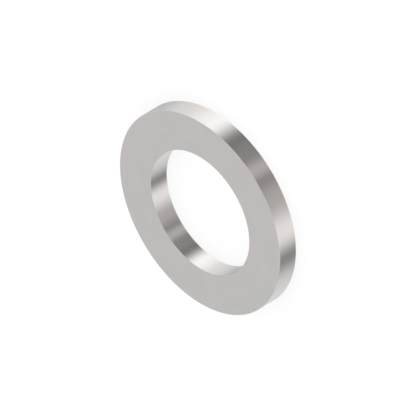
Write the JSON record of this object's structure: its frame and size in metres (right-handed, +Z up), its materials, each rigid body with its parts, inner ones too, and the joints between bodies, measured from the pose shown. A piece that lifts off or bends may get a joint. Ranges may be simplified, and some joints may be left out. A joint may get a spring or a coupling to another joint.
{
  "type": "washer",
  "caption": "Thick flat ring washer with a plain round bore, square walls and lightly deburred edges, for spreading the load of a bolt or pin.",
  "frame": {"origin": "centre of the bore in the plane of the underside, on which the washer rests", "axes": "+Z up along the bore's axis, from the underside to the upper face; the ring is round, so +X and +Y are any two square directions in the underside's plane"},
  "size_m": [0.03, 0.03, 0.003],
  "materials": {
    "steel": "satin, with fine turning lines round the axis"
  },
  "bodies": {
    "root": {"washer": "steel"}
  },
  "joints": []
}
